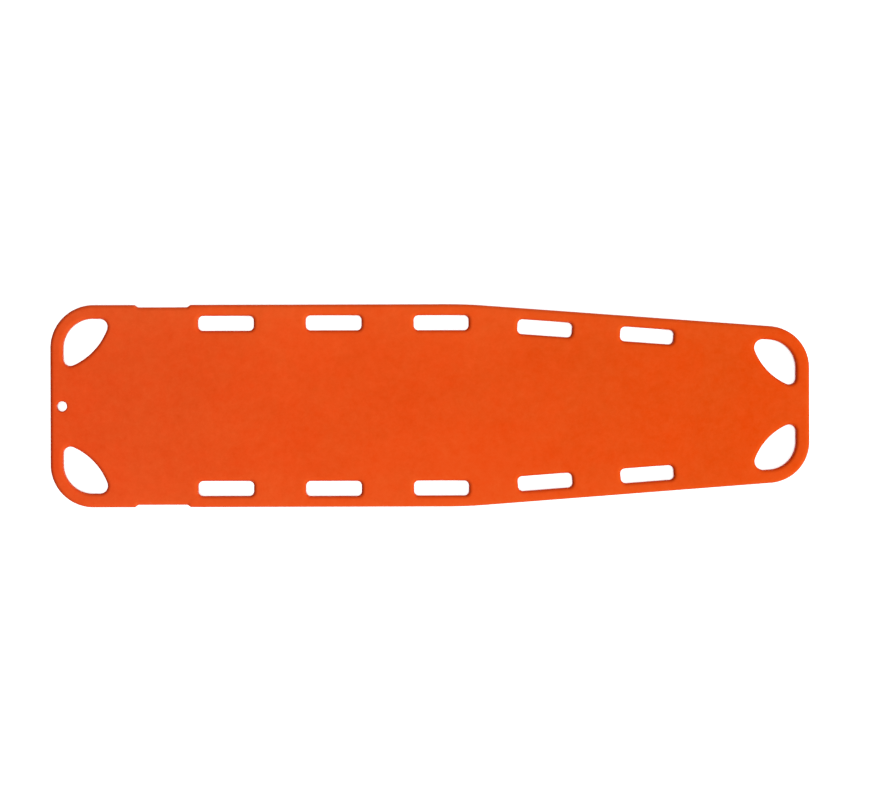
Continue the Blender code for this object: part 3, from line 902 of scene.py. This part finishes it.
def foam_plug_mesh(name, r):
    """A mushroom plug seen from below: a stepped, domed flange with a ring groove, and two spanner holes."""
    flange = r + 3.5
    shape = [(0, PLUG_DEPTH), (r - 1.7, PLUG_DEPTH), (r - 1.5, PLUG_DEPTH - 0.15), (r - 0.15, PLUG_DEPTH - 1.9), (r, PLUG_DEPTH - 2.1)]
    for k in range(3):
        z = 6.0 - 1.6 * k
        shape += [(r, z), (r - 0.35, z - 0.25), (r - 0.35, z - 0.75), (r, z - 1.0)]
    shape += [(r, 0.1), (r + 0.4, -GAP), (flange - 0.15, -GAP), (flange, -GAP - 0.15), (flange, -1.0), (flange - 0.2, -1.25)]
    shape += [(flange - 0.7, -1.62), (flange - 1.2, -1.8), (flange - 1.8, -1.9)]
    groove = 0.62 * flange
    shape += [(groove + 0.7, -2.12), (groove + 0.5, -1.75), (groove - 0.2, -1.7), (groove - 0.45, -2.2)]
    shape += [(0.36 * flange, -2.34), (0.2 * flange, -2.4), (0, -2.4)]
    mesh = turned_mesh(name, shape, 64)
    body = bpy.data.objects.new(name + "_raw", mesh)
    bpy.context.scene.collection.objects.link(body)
    hole_r = 0.085 * flange
    bm = bmesh.new()
    for side in (-1, 1):
        bmesh.ops.create_cone(
            bm,
            cap_ends=True,
            segments=24,
            radius1=hole_r * 1.12 * MM,
            radius2=hole_r * 0.9 * MM,
            depth=4.0 * MM,
            matrix=Matrix.Translation((side * 0.34 * flange * MM, 0, (-0.9 - 2.0) * MM)),
        )
    tool = bpy.data.meshes.new("spanner_holes")
    bm.to_mesh(tool)
    bm.free()
    cutter = bpy.data.objects.new("spanner_holes", tool)
    bpy.context.scene.collection.objects.link(cutter)
    cut = body.modifiers.new("spanner_holes", "BOOLEAN")
    cut.operation = "DIFFERENCE"
    cut.solver = "EXACT"
    cut.object = cutter
    bpy.context.view_layer.update()
    made = bpy.data.meshes.new_from_object(body.evaluated_get(bpy.context.evaluated_depsgraph_get()))
    made.name = name
    bpy.data.objects.remove(body)
    bpy.data.objects.remove(cutter)
    made.materials.clear()
    tidy(made)
    soften(made, 35)
    return made


def tube_mesh(name, y):
    """A pultruded tube with chamfered ends, along X."""
    half = LENGTH / 2 - TUBE_END_INSET
    c = 0.35
    outer = [(-half, TUBE_BORE_R + c), (-half, TUBE_R - c), (-half + c, TUBE_R)]
    outer += [(x, TUBE_R) for x in np.linspace(-half + 30, half - 30, 60)]
    outer += [(half - c, TUBE_R), (half, TUBE_R - c), (half, TUBE_BORE_R + c), (half - c, TUBE_BORE_R)]
    outer += [(x, TUBE_BORE_R) for x in np.linspace(half - 30, -half + 30, 60)]
    outer += [(-half + c, TUBE_BORE_R)]
    sides = 40
    bm = bmesh.new()
    rows = []
    for x, r in outer:
        rows.append(
            [
                bm.verts.new((x * MM, (y + r * math.cos(a)) * MM, (TUBE_Z + r * math.sin(a)) * MM))
                for a in (math.tau * i / sides for i in range(sides))
            ]
        )
    for k, row in enumerate(rows):
        after = rows[(k + 1) % len(rows)]
        for i in range(sides):
            j = (i + 1) % sides
            bm.faces.new((row[i], row[j], after[j], after[i]))
    bmesh.ops.recalc_face_normals(bm, faces=bm.faces)
    mesh = bpy.data.meshes.new(name)
    bm.to_mesh(mesh)
    bm.free()
    soften(mesh, 30)
    return mesh


BASE = (0.792, 0.0800, 0.0096, 1.0)
skin_material = polyethylene("orange_polyethylene_skin", BASE, 0.12, True)
plug_material = polyethylene("orange_plug_skin", times(BASE, 0.93), 0.2, False)
cap_material = black_cap()
foam_material = foam()
glass_material = fibreglass()

keep("board_shell", board_shell(), skin_material, "orange_polyethylene", "shell")

cap_profile = tube_cap_profile()
for side, y in (("left", TUBE_Y), ("right", -TUBE_Y)):
    keep(f"glass_tube_{side}", tube_mesh(f"glass_tube_{side}", y), glass_material, "pultruded_fibreglass", f"stiffener_tube_{side}")
    for where, sign in (("head", -1), ("foot", 1)):
        mesh = turned_mesh(f"tube_cap_{where}_{side}", cap_profile, 56)
        place = Matrix.Translation((sign * LENGTH / 2 * MM, y * MM, TUBE_Z * MM))
        mesh.transform(place @ Matrix.Rotation(sign * math.pi / 2, 4, "Y"))
        keep(mesh.name, mesh, cap_material, "black_plug", f"tube_plug_{where}_{side}")

for name, node, x, r in (
    ("fill_port_plug", "foam_fill_plug", FILL_X, FILL_R),
    ("vent_port_plug_head", "foam_vent_plug_head", -VENT_X, VENT_R),
    ("vent_port_plug_foot", "foam_vent_plug_foot", VENT_X, VENT_R),
):
    mesh = foam_plug_mesh(name, r)
    mesh.transform(Matrix.Translation((x * MM, 0, Z_UNDER * MM)))
    keep(name, mesh, plug_material, "orange_plug", node)

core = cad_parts["foam_core"]
for place in core.material_slots:
    place.material = foam_material


# ---------------------------------------------------------------- floor, backdrop, light, camera
def plain(name, diffuse, glow):
    material = bpy.data.materials.new(name)
    material.use_nodes = True
    shader = material.node_tree.nodes["Principled BSDF"]
    shader.inputs["Base Color"].default_value = (diffuse, diffuse, diffuse, 1.0)
    shader.inputs["Roughness"].default_value = 0.9
    shader.inputs["Specular IOR Level"].default_value = 0.0
    shader.inputs["Emission Color"].default_value = (1.0, 1.0, 1.0, 1.0)
    shader.inputs["Emission Strength"].default_value = glow
    return material


def stage_object(name, mesh, material):
    made = bpy.data.objects.new(name, mesh)
    bpy.context.scene.collection.objects.link(made)
    mesh.materials.append(material)
    return made


bm = bmesh.new()
bmesh.ops.create_circle(bm, cap_ends=True, segments=96, radius=60.0, matrix=Matrix.Translation((0, 0, -0.0004)))
floor_mesh = bpy.data.meshes.new("floor")
bm.to_mesh(floor_mesh)
bm.free()
floor = stage_object("floor", floor_mesh, plain("pale_floor", 0.45, 0.50))
floor.visible_diffuse = False

bm = bmesh.new()
bmesh.ops.create_uvsphere(bm, u_segments=64, v_segments=32, radius=70.0)
bmesh.ops.reverse_faces(bm, faces=bm.faces)
back_mesh = bpy.data.meshes.new("backdrop")
bm.to_mesh(back_mesh)
bm.free()
backdrop = stage_object("backdrop", back_mesh, plain("pale_backdrop", 0.0, 1.3))
for kind in ("diffuse", "glossy", "transmission", "volume_scatter", "shadow"):
    setattr(backdrop, "visible_" + kind, False)

# the studio round the board is dim overhead, where the camera hangs, and brighter towards the two long walls. On the
# head side, away from the key light, it is dim and reddish
world = bpy.data.worlds.new("studio")
world.use_nodes = True
sky = world.node_tree
background = sky.nodes["Background"]
aim = sky.nodes.new("ShaderNodeTexCoord")
part = sky.nodes.new("ShaderNodeSeparateXYZ")
sky.links.new(aim.outputs["Generated"], part.inputs[0])


def smoothly(source, low, high, to_low, to_high):
    node = sky.nodes.new("ShaderNodeMapRange")
    node.interpolation_type = "SMOOTHSTEP"
    for socket, number in (("From Min", low), ("From Max", high), ("To Min", to_low), ("To Max", to_high)):
        node.inputs[socket].default_value = number
    sky.links.new(source, node.inputs["Value"])
    return node.outputs["Result"]


product = sky.nodes.new("ShaderNodeMath")
product.operation = "MULTIPLY"
sky.links.new(smoothly(part.outputs["Z"], 0.55, 0.95, 0.30, 0.12), product.inputs[0])
sky.links.new(smoothly(part.outputs["X"], -0.6, 0.1, 0.10, 1.0), product.inputs[1])
across = sky.nodes.new("ShaderNodeMath")
across.operation = "ABSOLUTE"
sky.links.new(part.outputs["Y"], across.inputs[0])
level = sky.nodes.new("ShaderNodeMath")
level.operation = "MULTIPLY"
sky.links.new(product.outputs[0], level.inputs[0])
sky.links.new(smoothly(across.outputs[0], 0.2, 0.9, 0.60, 2.4), level.inputs[1])
# the pale ground throws some light back onto the walls
both = sky.nodes.new("ShaderNodeMath")
both.operation = "ADD"
sky.links.new(level.outputs[0], both.inputs[0])
sky.links.new(smoothly(part.outputs["Z"], -0.25, 0.05, 0.60, 0.0), both.inputs[1])
sky.links.new(both.outputs[0], background.inputs["Strength"])
tint = sky.nodes.new("ShaderNodeMix")
tint.data_type = "RGBA"
sky.links.new(smoothly(part.outputs["X"], -0.8, 0.5, 0.0, 1.0), tint.inputs["Factor"])
shades = [socket for socket in tint.inputs if socket.type == "RGBA"]
shades[0].default_value = (1.0, 0.18, 0.08, 1.0)
shades[1].default_value = (1.0, 0.90, 0.68, 1.0)
sky.links.new([socket for socket in tint.outputs if socket.type == "RGBA"][0], background.inputs["Color"])
bpy.context.scene.world = world


def sun(name, towards, strength, spread):
    """A soft distant light. towards is the direction that it stands in, seen from the board."""
    lamp = bpy.data.lights.new(name, "SUN")
    lamp.energy = strength
    lamp.angle = math.radians(spread)
    made = bpy.data.objects.new(name, lamp)
    made.rotation_euler = Vector(towards).to_track_quat("Z", "Y").to_euler()
    made.visible_camera = False
    bpy.context.scene.collection.objects.link(made)
    return made


def direction(azimuth, elevation):
    """azimuth runs anticlockwise from +X in plan."""
    a, e = math.radians(azimuth), math.radians(elevation)
    return (math.cos(a) * math.cos(e), math.sin(a) * math.cos(e), math.sin(e))


sun("key", direction(-28, 58), 3.02, 26)

# a second soft light, straight overhead, is flagged so that it falls only on the floor
wash = sun("floor_wash", (0, 0, 1), 5.4, 12)
lit = bpy.data.collections.new("floor_only")
lit.objects.link(floor)
wash.light_linking.receiver_collection = lit

scene = bpy.context.scene
scene.view_settings.view_transform = "Standard"
scene.view_settings.look = "None"
scene.view_settings.exposure = 0.0
scene.view_settings.gamma = 1.0
# the picture's highlights roll off before they reach white, which keeps lit edges orange
scene.view_settings.use_curve_mapping = True
curves = scene.view_settings.curve_mapping
curves.clip_max_x = curves.clip_max_y = 1.2
shoulder = curves.curves[3]
shoulder.points[0].location = (0.0, 0.0)
shoulder.points[1].location = (1.12, 1.1)
for x, y in ((0.84, 0.84), (0.94, 0.875), (1.05, 0.94)):
    shoulder.points.new(x, y)
for point in shoulder.points:
    point.handle_type = "VECTOR"
curves.update()

lens = bpy.data.cameras.new("camera")
lens.type = "PERSP"
lens.sensor_fit = "HORIZONTAL"
lens.sensor_width = 36.0
lens.lens = 36.0 * CAMERA_HEIGHT / VIEW_WIDTH
lens.clip_start, lens.clip_end = 0.1, 200.0
camera = bpy.data.objects.new("camera", lens)
camera.location = (VIEW_CENTRE[0], VIEW_CENTRE[1], Z_TOP * MM + CAMERA_HEIGHT)
camera.rotation_euler = (0.0, 0.0, math.radians(-0.15))
scene.collection.objects.link(camera)
scene.camera = camera
